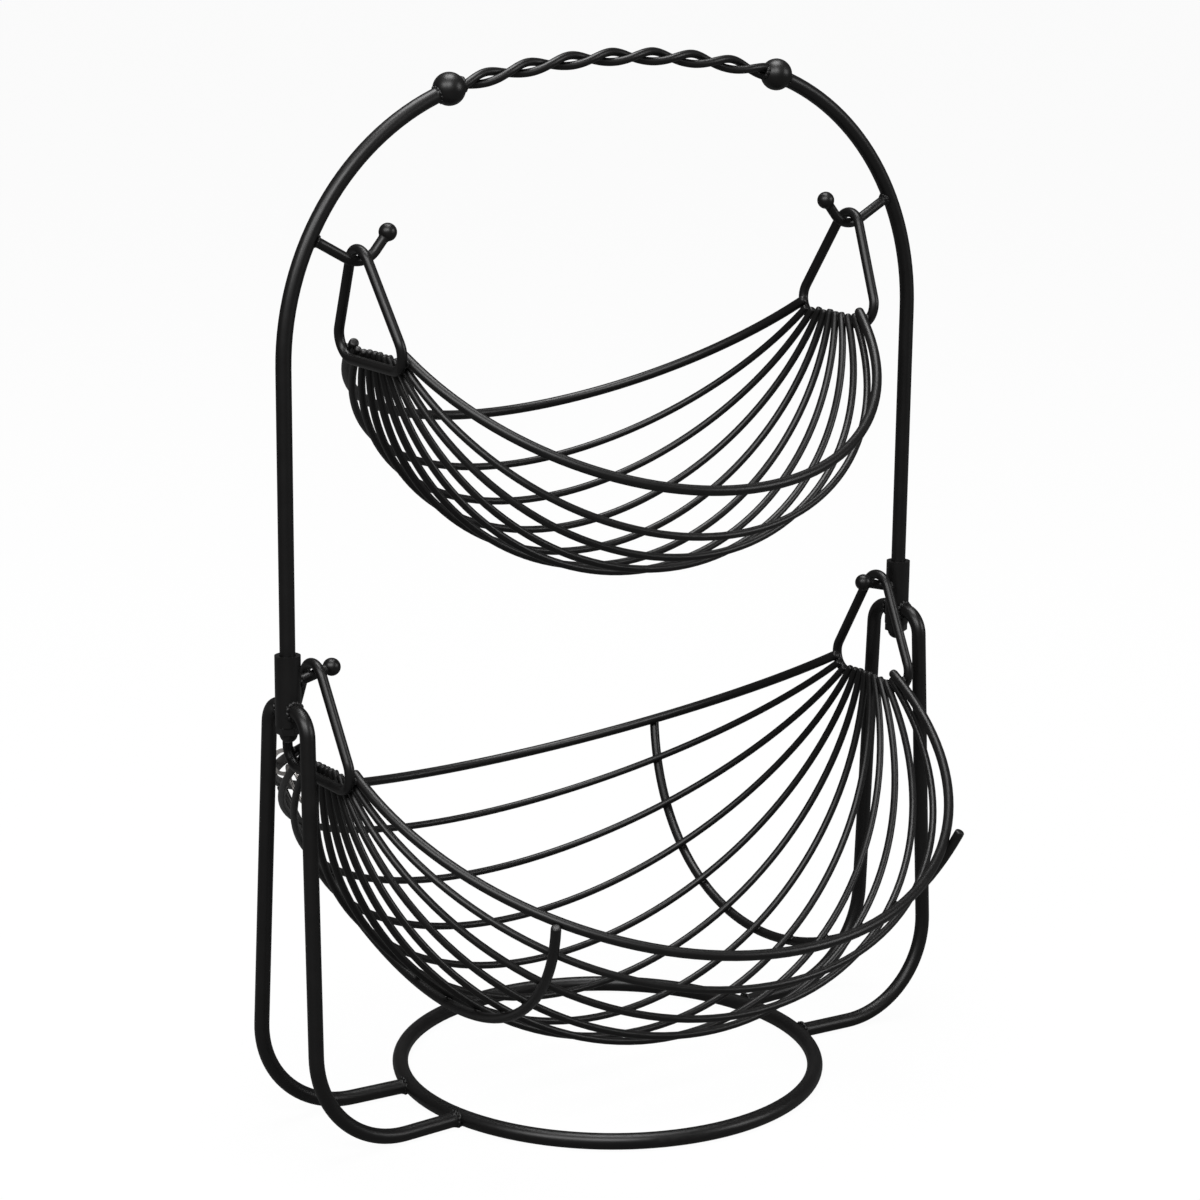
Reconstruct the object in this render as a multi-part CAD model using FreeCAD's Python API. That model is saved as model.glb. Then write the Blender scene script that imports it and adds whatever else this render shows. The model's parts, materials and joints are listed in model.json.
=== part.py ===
import FreeCAD, Part
import math
import os

from FreeCAD import Vector

# Two-tier hammock basket in bent wire, in millimetres.
# +X runs from the left sleeve to the right one, -Y is the front, +Z is up.
# The origin is on the floor, below the middle of the stand.

# Wire stock
ring_wire = 6.5
frame_wire = 6.0
hook_wire = 4.0
hanger_wire = 4.0
rim_wire = 4.0
cradle_wire = 4.0
rib_wire = 3.0
strand_wire = 3.2

# Clearances
weld_gap = 0.05
bar_gap = 0.2
hang_gap = 0.3
sleeve_gap = 0.2
screw_gap = 0.15

# Base ring and legs
ring_radius = 86.5
foot_flat = 0.25
leg_top_height = 177.0
leg_top_spread = 14.5
leg_foot_offset = 151.5
leg_foot_spread = 24.0
leg_weld_spread = 20.0
leg_top_bend = 9.0
leg_foot_bend = 40.0

# Sleeves and the screws that close them from below
sleeve_offset = 149.0
sleeve_drop = 6.5
sleeve_length = 27.5
sleeve_outer = 10.0
sleeve_floor = 2.5
screw_shank = 3.5
screw_grip = 6.0
screw_head = 8.5
screw_head_sides = 6
screw_head_height = 3.2
screw_head_edge = 0.35
screw_dome = 7.0
screw_dome_height = 3.6

# Arch and twisted handle
arch_upright = 133.95
arch_bend_radius = 105.0
arch_end_slope = 22.0
arch_end_run = 6.33
bead_size = 12.7
handle_rise = 9.5
twist_radius = 1.95
twist_turns = 4
twist_start_angle = 35.0
quarters_per_turn = 4

# Hooks with their ball ends
ball_size = 7.0
upper_hook_rise = 48.0
upper_hook_reach = 22.9
upper_hook_dip = 12.75
upper_hook_bend = 10.0
upper_ball_reach = 10.5
upper_ball_rise = 12.75
lower_hook_rise = 15.5
lower_hook_slope = 14.0
lower_ball_reach = 19.0
lower_seat_reach = 11.0

# Triangular hangers
upper_hanger_height = 44.5
lower_hanger_height = 46.2
hanger_half_angle = 28.5
hanger_top_bend = 7.5
hanger_corner_bend = 8.0
upper_hanger_lean = 6.0
lower_hanger_lean = 2.0

# Basket wires at the hangers
rib_tip = 2.6
rim_tip = 2.8
upper_rim_run = 23.2
lower_rim_run = 25.7

# Upper basket: its ribs pass through an arc round the swing axis
upper_rib_count = 9
upper_rib_pitch = 4.1
upper_rib_spread = 0.14
upper_belly_radius = 130.0
upper_rib_angle = 9.4
upper_rim_spread = 92.0
upper_rim_drop = 82.76

# Lower basket: its ribs lie in two tilted cradle wires
lower_rib_count = 11
lower_rib_pitch = 3.55
lower_rib_spread = 0.155
cradle_offset = 76.6
cradle_drop = 100.52
cradle_radius = 111.0
cradle_tilt = 14.5
cradle_rib_angle = 11.4
cradle_rim_angle = 66.46
cradle_end_angle = 66.46
cradle_stub_angle = 68.4

# Two linked split rings, the small one round the lower basket's back rim
split_thickness = 1.2
split_groove = 0.2
split_gap = 0.56
small_split_outer = 11.0
small_split_band = 1.6
large_split_outer = 17.0
large_split_band = 1.8
split_link = 9.78
split_rim_angle = 9.6
small_split_axis_turn_angle = -108.4
small_split_axis_rise_angle = 12.6
small_split_hang_turn_angle = -2.4
small_split_hang_rise_angle = -9.7
large_split_axis_turn_angle = -10.1
large_split_axis_rise_angle = 16.9
large_split_hang_turn_angle = -52.8
large_split_hang_rise_angle = -59.8

sides = {"left": -1, "right": 1}
ends = {"front": -1, "back": 1}


def arc_edge(start, corner, end):
    """Arc that leaves start towards corner and reaches end from it."""
    middle = (start + end) * 0.5
    half_chord = (end - start).Length / 2
    reach = corner - middle
    turn = 2 * math.atan2(reach.Length, half_chord)
    sagitta = half_chord * math.tan(turn / 4)
    crown = middle + Vector(reach).normalize() * sagitta
    return Part.Arc(start, crown, end).toShape()


def rounded_path(corners, radii):
    """Straight runs through the corners, with an arc of its own radius at each inner one."""
    edges = []
    start = corners[0]
    for before, corner, after, radius in zip(corners, corners[1:], corners[2:], radii):
        back = (before - corner).normalize()
        ahead = (after - corner).normalize()
        trim = radius / math.tan(back.getAngle(ahead) / 2)
        arc_start = corner + back * trim
        arc_end = corner + ahead * trim
        edges.append(Part.LineSegment(start, arc_start).toShape())
        edges.append(arc_edge(arc_start, corner, arc_end))
        start = arc_end
    edges.append(Part.LineSegment(start, corners[-1]).toShape())
    return edges


def swept(edges, diameter):
    """Round wire of one diameter along edges that follow each other smoothly."""
    first = edges[0]
    start = first.valueAt(first.FirstParameter)
    heading = first.tangentAt(first.FirstParameter)
    section = Part.Wire(Part.makeCircle(diameter / 2, start, heading))
    return Part.Wire(edges).makePipeShell([section], True, False)


def largest(shape):
    """The main solid of a coped wire, without the stub past the cut."""
    return max(shape.Solids, key=lambda solid: solid.Volume)


def ball(diameter, centre):
    """Ball of one diameter."""
    return Part.makeSphere(diameter / 2, centre)


def rod(diameter, start, end):
    """Straight round rod between two points."""
    return Part.makeCylinder(diameter / 2, (end - start).Length, start, end - start)


def mirrored_x(point, side):
    """The point on one side, from that on the right."""
    return Vector(side * point.x, point.y, point.z)


def degrees_point(centre, radius, angle):
    """Point on a circle in the XZ plane, at an angle from +X towards +Z."""
    turn = math.radians(angle)
    return centre + Vector(radius * math.cos(turn), 0, radius * math.sin(turn))


# Heights that several pieces share
floor_run_height = frame_wire / 2
sleeve_bottom = leg_top_height - sleeve_drop
arch_foot = sleeve_bottom + sleeve_floor + weld_gap
arch_centre = Vector(sleeve_offset - arch_bend_radius, 0, arch_foot + arch_upright)
arch_bend_end = degrees_point(arch_centre, arch_bend_radius, 90 - arch_end_slope)
arch_end_rise = arch_end_run * math.tan(math.radians(arch_end_slope))
bead_centre = arch_bend_end + Vector(-arch_end_run, 0, arch_end_rise)


def base_ring():
    """Closed ring with a narrow flat to stand on."""
    ring = Part.makeTorus(ring_radius, ring_wire / 2, Vector(0, 0, ring_wire / 2 - foot_flat))
    reach = ring_radius + ring_wire
    below = Part.makeCylinder(reach, ring_wire, Vector(0, 0, -ring_wire))
    return ring.cut(below)


def leg(side, end):
    """One leg: out of the sleeve, down, and along the floor to the ring."""
    weld_x = math.sqrt(ring_radius ** 2 - leg_weld_spread ** 2)
    corners = [
        Vector(side * sleeve_offset, 0, leg_top_height),
        Vector(side * sleeve_offset, end * leg_top_spread, leg_top_height),
        Vector(side * leg_foot_offset, end * leg_foot_spread, floor_run_height),
        Vector(side * weld_x, end * leg_weld_spread, floor_run_height),
    ]
    wire = swept(rounded_path(corners, [leg_top_bend, leg_foot_bend]), frame_wire)
    sleeve_core = Part.makeCylinder(
        sleeve_outer / 2 + weld_gap, sleeve_length, Vector(side * sleeve_offset, 0, sleeve_bottom)
    )
    ring_core = Part.makeTorus(
        ring_radius, ring_wire / 2 + weld_gap, Vector(0, 0, ring_wire / 2 - foot_flat)
    )
    return largest(wire.cut(sleeve_core).cut(ring_core))


def sleeve(side):
    """Tube with a drilled floor, open at the top for the arch."""
    foot = Vector(side * sleeve_offset, 0, sleeve_bottom)
    tube = Part.makeCylinder(sleeve_outer / 2, sleeve_length, foot)
    bore = Part.makeCylinder(
        frame_wire / 2 + sleeve_gap, sleeve_length, Vector(foot.x, 0, foot.z + sleeve_floor)
    )
    hole = Part.makeCylinder(screw_shank / 2 + screw_gap, sleeve_length, foot)
    return tube.cut(bore).cut(hole)


def arch_screw(side):
    """Screw with a domed hexagonal head that comes up through the sleeve's floor into the arch."""
    seat = Vector(side * sleeve_offset, 0, sleeve_bottom - weld_gap)
    head_foot = Vector(seat.x, 0, seat.z - screw_head_height)
    corner_reach = screw_head / 2 / math.cos(math.pi / screw_head_sides)
    turns = [2 * math.pi * number / screw_head_sides for number in range(screw_head_sides + 1)]
    corners = [head_foot + Vector(math.sin(turn), math.cos(turn), 0) * corner_reach for turn in turns]
    head = Part.Face(Part.makePolygon(corners)).extrude(Vector(0, 0, screw_head_height))
    head = head.makeFillet(screw_head_edge, head.Edges)
    shank_length = weld_gap + sleeve_floor + screw_grip
    shank = Part.makeCylinder(screw_shank / 2, shank_length, seat)
    dome_radius = ((screw_dome / 2) ** 2 + screw_dome_height ** 2) / (2 * screw_dome_height)
    dome_foot = Vector(seat.x, 0, head_foot.z - screw_dome_height)
    dome_box = Part.makeCylinder(screw_head, screw_dome_height, dome_foot)
    dome = Part.makeSphere(dome_radius, dome_foot + Vector(0, 0, dome_radius)).common(dome_box)
    return head.fuse([shank, dome]).removeSplitter()


def arch_path(side):
    """Upright, bend and short straight end of one arch leg."""
    bend_start = degrees_point(arch_centre, arch_bend_radius, 0)
    bend_middle = degrees_point(arch_centre, arch_bend_radius, (90 - arch_end_slope) / 2)
    points = [Vector(sleeve_offset, 0, arch_foot), bend_start, bend_middle, arch_bend_end, bead_centre]
    foot, start, middle, end, bead = (mirrored_x(point, side) for point in points)
    return [
        Part.LineSegment(foot, start).toShape(),
        Part.Arc(start, middle, end).toShape(),
        Part.LineSegment(end, bead).toShape(),
    ]


def arch_leg(side):
    """Arch leg with its screw hole, coped to the bead."""
    wire = swept(arch_path(side), frame_wire)
    bead_core = ball(bead_size + 2 * weld_gap, mirrored_x(bead_centre, side))
    hole_depth = screw_grip + screw_gap
    hole = Part.makeCylinder(
        screw_shank / 2 + screw_gap, hole_depth, Vector(side * sleeve_offset, 0, arch_foot)
    )
    return largest(wire.cut(bead_core).cut(hole))


handle_radius = (bead_centre.x ** 2 + handle_rise ** 2) / (2 * handle_rise)
handle_centre_height = bead_centre.z + handle_rise - handle_radius
handle_half_angle = math.asin(bead_centre.x / handle_radius)


def strand_point(share, phase):
    """Point of a strand at a share of the way from the left bead to the right one."""
    lean = handle_half_angle * (2 * share - 1)
    outward = Vector(math.sin(lean), 0, math.cos(lean))
    turn = math.radians(twist_start_angle + phase) + 2 * math.pi * twist_turns * share
    axis_point = Vector(0, 0, handle_centre_height) + outward * handle_radius
    return axis_point + (outward * math.cos(turn) + Vector(0, 1, 0) * math.sin(turn)) * twist_radius


def strand_heading(share, phase):
    """Direction of travel of a strand at that share."""
    step_share = 0.0001
    return (strand_point(share + step_share, phase) - strand_point(share - step_share, phase)).normalize()


def biarc(start, start_heading, end, end_heading):
    """Two arcs that join two points and keep the heading at both."""
    span = end - start
    headings = start_heading + end_heading
    spread = 2 * (1 - start_heading.dot(end_heading))
    along = span.dot(headings)
    reach = (math.sqrt(along ** 2 + spread * span.dot(span)) - along) / spread
    first_corner = start + start_heading * reach
    last_corner = end - end_heading * reach
    joint = (first_corner + last_corner) * 0.5
    return [arc_edge(start, first_corner, joint), arc_edge(joint, last_corner, end)]


def handle_strand(phase):
    """One strand of the twisted handle, coped to both beads."""
    steps = twist_turns * quarters_per_turn
    edges = []
    for step in range(steps):
        here_share = step / steps
        next_share = (step + 1) / steps
        edges += biarc(
            strand_point(here_share, phase), strand_heading(here_share, phase),
            strand_point(next_share, phase), strand_heading(next_share, phase),
        )
    wire = swept(edges, strand_wire)
    for side in sides.values():
        wire = wire.cut(ball(bead_size + 2 * weld_gap, mirrored_x(bead_centre, side)))
    return largest(wire)


def strand_gap():
    """Least gap between the two strands, measured on points along them."""
    count = twist_turns * quarters_per_turn * quarters_per_turn
    first = [strand_point(number / count, 0) for number in range(count + 1)]
    second = [strand_point(number / count, 180) for number in range(count + 1)]
    return min((a - b).Length for a in first for b in second) - strand_wire


def upper_hook_corners(side):
    """Root on the arch, lowest corner and ball centre of an upper hook."""
    turn = math.asin(upper_hook_rise / arch_bend_radius)
    root = degrees_point(arch_centre, arch_bend_radius, math.degrees(turn))
    corner = root - Vector(upper_hook_reach, 0, upper_hook_dip)
    tip = corner + Vector(-upper_ball_reach, 0, upper_ball_rise)
    return [mirrored_x(point, side) for point in (root, corner, tip)]


def upper_hook(side):
    """Bent hook, coped to the arch at one end and to its ball at the other."""
    corners = upper_hook_corners(side)
    wire = swept(rounded_path(corners, [upper_hook_bend]), hook_wire)
    arch_core = swept(arch_path(side), frame_wire + 2 * weld_gap)
    ball_core = ball(ball_size + 2 * weld_gap, corners[-1])
    return largest(wire.cut(arch_core).cut(ball_core))


def lower_hook_point(reach):
    """Point on the axis of the right lower hook, at a reach from the sleeve's axis."""
    climb = reach * math.tan(math.radians(lower_hook_slope))
    return Vector(sleeve_offset - reach, 0, sleeve_bottom + lower_hook_rise + climb)


def lower_hook(side):
    """Straight rising peg between a sleeve and its ball."""
    root = mirrored_x(lower_hook_point(0), side)
    tip = mirrored_x(lower_hook_point(lower_ball_reach), side)
    sleeve_core = Part.makeCylinder(
        sleeve_outer / 2 + weld_gap, sleeve_length, Vector(root.x, 0, sleeve_bottom)
    )
    ball_core = ball(ball_size + 2 * weld_gap, tip)
    return largest(rod(hook_wire, root, tip).cut(sleeve_core).cut(ball_core))


def upper_seat():
    """Lowest point of the right upper hook's axis, where its hanger rides."""
    root, corner, tip = upper_hook_corners(1)
    back = (root - corner).normalize()
    ahead = (tip - corner).normalize()
    bisector = (back + ahead).normalize()
    centre = corner + bisector * (upper_hook_bend / math.sin(back.getAngle(ahead) / 2))
    return Vector(centre.x, 0, centre.z - upper_hook_bend)


class Hanger:
    """Closed triangle that hangs on a hook; its lower bar carries a basket."""

    half_angle = math.radians(hanger_half_angle)

    def __init__(self, seat, hook_slope, lean, height):
        self.apex = height + hanger_top_bend * (1 / math.sin(self.half_angle) - 1)
        self.foot = self.apex * math.tan(self.half_angle)
        corner_reach = hanger_corner_bend / math.tan((math.pi / 2 - self.half_angle) / 2)
        self.straight_run = self.foot - corner_reach
        lift = (hook_wire / 2 + hanger_wire / 2 + hang_gap) / math.cos(math.radians(hook_slope))
        self.top = Vector(seat.x, 0, seat.z + lift)
        drop = math.sqrt(height ** 2 - lean ** 2)
        self.bar = Vector(seat.x - lean, 0, self.top.z - drop)
        self.up = (self.top - self.bar).normalize()

    def point(self, across, above):
        """Point in the hanger's plane, from the middle of its bar."""
        return self.bar + Vector(0, across, 0) + self.up * above

    def bar_point(self, run):
        """Point at a run from the middle of the bar, along it and then round its corner."""
        past = max(abs(run) - self.straight_run, 0)
        turn = past / hanger_corner_bend
        across = abs(run) - past + hanger_corner_bend * math.sin(turn)
        above = hanger_corner_bend * (1 - math.cos(turn))
        return self.point(math.copysign(across, run), above)

    def wire_end(self, run, diameter):
        """Where a basket wire of that diameter passes the inner side of the bar."""
        inset = (hanger_wire + diameter) / 2 + bar_gap
        return self.bar_point(run) - Vector(inset, 0, 0)

    def solid(self, side):
        """The closed triangle itself, on one side of the stand."""
        outline = [(0, 0), (self.foot, 0), (0, self.apex), (-self.foot, 0), (0, 0)]
        corners = [mirrored_x(self.point(across, above), side) for across, above in outline]
        radii = [hanger_corner_bend, hanger_top_bend, hanger_corner_bend]
        return swept(rounded_path(corners, radii), hanger_wire)


class BasketArc:
    """Arc of a rib or rim from hanger to hanger, mirrored at X = 0, through one more point."""

    def __init__(self, end, through):
        self.way = Vector(0, through.y - end.y, through.z - end.z)
        depth = self.way.Length
        self.way.normalize()
        centre_depth = (through.x ** 2 + depth ** 2 - end.x ** 2) / (2 * depth)
        self.radius = math.hypot(end.x, centre_depth)
        self.centre = Vector(0, end.y, end.z) + self.way * centre_depth
        self.end_turn = math.atan2(end.x, -centre_depth)

    def point(self, turn):
        """Point at a turn from the lowest one."""
        across = Vector(self.radius * math.sin(turn), 0, 0)
        return self.centre + across + self.way * (self.radius * math.cos(turn))

    def wire(self, tip, diameter):
        """The wire itself, with a straight tip past each bar."""
        end = self.point(self.end_turn)
        heading = Vector(math.cos(self.end_turn), 0, 0) - self.way * math.sin(self.end_turn)
        right_tip = end + heading * tip
        left_end = mirrored_x(end, -1)
        edges = [
            Part.LineSegment(mirrored_x(right_tip, -1), left_end).toShape(),
            Part.Arc(left_end, self.point(0), end).toShape(),
            Part.LineSegment(end, right_tip).toShape(),
        ]
        return swept(edges, diameter)


def rib_steps(count):
    """Steps of the ribs either side of the middle one, numbered from the front."""
    return enumerate((number - (count - 1) / 2 for number in range(count)), 1)


lower_seat = lower_hook_point(lower_seat_reach)
lower_hanger = Hanger(lower_seat, lower_hook_slope, lower_hanger_lean, lower_hanger_height)
cradle_height = lower_hanger.bar.z - cradle_drop


def upper_belly_point(seat, step):
    """Lowest point of an upper rib, on an arc round the swing axis."""
    angle = math.radians(upper_rib_angle * step)
    return Vector(0, upper_belly_radius * math.sin(angle), seat.z - upper_belly_radius * math.cos(angle))


def cradle_point(angle, radius, shift=0):
    """Point of a circle round the right cradle's tilted axis, at an angle from its lowest point."""
    turn = math.radians(angle)
    tilt = math.radians(cradle_tilt)
    climb = cradle_radius - radius * math.cos(turn)
    along = Vector(math.cos(tilt), 0, -math.sin(tilt))
    up = Vector(math.sin(tilt), 0, math.cos(tilt))
    lowest = Vector(cradle_offset, 0, cradle_height)
    return lowest + along * shift + up * climb + Vector(0, radius * math.sin(turn), 0)


def cradle(side, front_angle, back_angle):
    """Cross wire that touches the lower ribs from below, from the front rim to the back one."""
    lowest = cradle_point(0, cradle_radius)
    middle_rib = BasketArc(lower_hanger.wire_end(0, rib_wire), lowest)
    crossing = math.asin(lowest.x / middle_rib.radius) + math.radians(cradle_tilt)
    reach = (rib_wire + cradle_wire) / 2 + weld_gap
    radius = cradle_radius + reach * math.cos(crossing)
    shift = reach * math.sin(crossing)
    angles = [-front_angle, 0, back_angle]
    start, middle, end = (mirrored_x(cradle_point(angle, radius, shift), side) for angle in angles)
    return swept([Part.Arc(start, middle, end).toShape()], cradle_wire)


def direction(turn, rise):
    """Unit vector at a turn from +X about +Z and a rise above the floor."""
    level = math.cos(math.radians(rise))
    along = math.radians(turn)
    return Vector(level * math.cos(along), level * math.sin(along), math.sin(math.radians(rise)))


def split_ring(outer, band, centre, axis):
    """Flat ring with a groove where its two turns meet."""
    start = centre - axis * (split_thickness / 2)
    disc = Part.makeCylinder(outer / 2, split_thickness, start, axis)
    hole = Part.makeCylinder(outer / 2 - band, split_thickness, start, axis)
    outer_groove = Part.makeTorus(outer / 2, split_groove, centre, axis)
    inner_groove = Part.makeTorus(outer / 2 - band, split_groove, centre, axis)
    return disc.cut(hole).cut(outer_groove).cut(inner_groove)


def split_rings(rim):
    """The small ring round the left end of a rim, and the large one linked through it."""
    place = mirrored_x(rim.point(rim.end_turn - math.radians(split_rim_angle)), sides["left"])
    small_axis = direction(small_split_axis_turn_angle, small_split_axis_rise_angle)
    hang = direction(small_split_hang_turn_angle, small_split_hang_rise_angle)
    hang = (hang - small_axis * hang.dot(small_axis)).normalize()
    slack = small_split_outer / 2 - small_split_band - rim_wire / 2 - split_gap
    small_centre = place + hang * slack
    large_hang = direction(large_split_hang_turn_angle, large_split_hang_rise_angle)
    large_centre = small_centre + large_hang * split_link
    large_axis = direction(large_split_axis_turn_angle, large_split_axis_rise_angle)
    return {
        "small_split_ring": split_ring(small_split_outer, small_split_band, small_centre, small_axis),
        "large_split_ring": split_ring(large_split_outer, large_split_band, large_centre, large_axis),
    }


def build():
    """All pieces by name."""
    pieces = {"base_ring": base_ring()}
    seat = upper_seat()
    upper_hanger = Hanger(seat, 0, upper_hanger_lean, upper_hanger_height)
    for side_name, side in sides.items():
        for end_name, end in ends.items():
            pieces[f"leg_{end_name}_{side_name}"] = leg(side, end)
        pieces[f"sleeve_{side_name}"] = sleeve(side)
        pieces[f"arch_screw_{side_name}"] = arch_screw(side)
        pieces[f"arch_leg_{side_name}"] = arch_leg(side)
        pieces[f"handle_bead_{side_name}"] = ball(bead_size, mirrored_x(bead_centre, side))
        pieces[f"upper_hook_{side_name}"] = upper_hook(side)
        pieces[f"upper_ball_{side_name}"] = ball(ball_size, upper_hook_corners(side)[-1])
        pieces[f"lower_hook_{side_name}"] = lower_hook(side)
        lower_ball_centre = mirrored_x(lower_hook_point(lower_ball_reach), side)
        pieces[f"lower_ball_{side_name}"] = ball(ball_size, lower_ball_centre)
        pieces[f"upper_hanger_{side_name}"] = upper_hanger.solid(side)
        pieces[f"lower_hanger_{side_name}"] = lower_hanger.solid(side)
    pieces["handle_strand_a"] = handle_strand(0)
    pieces["handle_strand_b"] = handle_strand(180)

    for number, step in rib_steps(upper_rib_count):
        run = step * (upper_rib_pitch + upper_rib_spread * abs(step))
        end = upper_hanger.wire_end(run, rib_wire)
        arc = BasketArc(end, upper_belly_point(seat, step))
        pieces[f"upper_rib_{number}"] = arc.wire(rib_tip, rib_wire)
    for number, step in rib_steps(lower_rib_count):
        run = step * (lower_rib_pitch + lower_rib_spread * abs(step))
        end = lower_hanger.wire_end(run, rib_wire)
        arc = BasketArc(end, cradle_point(cradle_rib_angle * step, cradle_radius))
        pieces[f"lower_rib_{number}"] = arc.wire(rib_tip, rib_wire)
    upper_rim_height = seat.z - upper_rim_drop
    rim_radius = cradle_radius - (rim_wire - rib_wire)
    for end_name, end in ends.items():
        upper_end = upper_hanger.wire_end(end * upper_rim_run, rim_wire)
        upper_arc = BasketArc(upper_end, Vector(0, end * upper_rim_spread, upper_rim_height))
        pieces[f"upper_rim_{end_name}"] = upper_arc.wire(rim_tip, rim_wire)
        lower_end = lower_hanger.wire_end(end * lower_rim_run, rim_wire)
        lower_arc = BasketArc(lower_end, cradle_point(end * cradle_rim_angle, rim_radius))
        pieces[f"lower_rim_{end_name}"] = lower_arc.wire(rim_tip, rim_wire)
    for side_name, front_angle in (("left", cradle_end_angle), ("right", cradle_stub_angle)):
        pieces[f"cradle_wire_{side_name}"] = cradle(sides[side_name], front_angle, cradle_end_angle)
    pieces.update(split_rings(lower_arc))
    return pieces


def main():
    os.makedirs("parts", exist_ok=True)
    for name, shape in build().items():
        shape.exportStep(f"parts/{name}.step")
        print(f"{name}: {len(shape.Solids)} solid, {shape.Volume:.1f} mm3, valid {shape.isValid()}")
    print(f"least gap between the handle strands: {strand_gap():.2f} mm")


main()
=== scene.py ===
"""Looks of a two-tier hammock basket in black wire, in metres, in the frame of its solids."""

from __future__ import annotations

import json
import logging
import math
from dataclasses import dataclass, field
from enum import Enum
from typing import Iterable, Sequence, Union

import bmesh
import bpy
from mathutils import Matrix, Vector, noise


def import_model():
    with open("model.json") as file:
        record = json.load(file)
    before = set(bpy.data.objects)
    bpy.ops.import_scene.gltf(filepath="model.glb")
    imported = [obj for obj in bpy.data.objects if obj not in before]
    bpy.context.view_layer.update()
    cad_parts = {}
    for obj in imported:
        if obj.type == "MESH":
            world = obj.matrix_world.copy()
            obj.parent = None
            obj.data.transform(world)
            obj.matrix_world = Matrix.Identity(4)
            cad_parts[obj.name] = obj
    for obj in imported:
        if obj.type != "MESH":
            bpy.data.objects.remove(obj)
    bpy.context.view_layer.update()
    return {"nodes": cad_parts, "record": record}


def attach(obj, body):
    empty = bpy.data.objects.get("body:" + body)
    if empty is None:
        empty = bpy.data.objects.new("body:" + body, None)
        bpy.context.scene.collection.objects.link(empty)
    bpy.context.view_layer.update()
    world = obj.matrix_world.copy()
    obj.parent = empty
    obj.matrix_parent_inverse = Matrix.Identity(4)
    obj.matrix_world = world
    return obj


LOG = logging.getLogger("basket")
Colour = tuple[float, float, float, float]
WHITE: Colour = (1.0, 1.0, 1.0, 1.0)


class Side(Enum):
    """The two ends of the baskets, as the sign of X."""

    LEFT = -1
    RIGHT = 1


class End(Enum):
    """Front and back of the stand, as the sign of Y."""

    FRONT = -1
    BACK = 1


class Body(Enum):
    """The rigid bodies that pieces ride on."""

    STAND = "stand"
    UPPER = "upper_basket"
    LOWER = "lower_basket"


class Slot(Enum):
    """The finishes that the solids name."""

    COAT = "black_coat"
    STEEL = "bright_steel"


class Value:
    """A shader socket that takes part in Python expressions."""

    def __init__(self, graph: Graph, socket: bpy.types.NodeSocket) -> None:
        """Keeps the socket and the graph that it belongs to."""
        self.graph = graph
        self.socket = socket

    def _maths(self, operation: str, first: Term, second: Term) -> Value:
        """Adds one Math node.

        Args:
            operation: The node's operation.
            first: Its first value or link.
            second: Its second value or link.

        Returns:
            The node's result.
        """
        return self.graph.node("ShaderNodeMath", {"operation": operation}, {0: first, 1: second})

    def __add__(self, other: Term) -> Value:
        """Sum of this and another term."""
        return self._maths("ADD", self, other)

    def __radd__(self, other: Term) -> Value:
        """Sum of a number and this."""
        return self._maths("ADD", other, self)

    def __sub__(self, other: Term) -> Value:
        """This less another term."""
        return self._maths("SUBTRACT", self, other)

    def __rsub__(self, other: Term) -> Value:
        """A number less this."""
        return self._maths("SUBTRACT", other, self)

    def __mul__(self, other: Term) -> Value:
        """Product of this and another term."""
        return self._maths("MULTIPLY", self, other)

    def __rmul__(self, other: Term) -> Value:
        """Product of a number and this."""
        return self._maths("MULTIPLY", other, self)


Term = Union[Value, float, int, Sequence[float]]


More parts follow.
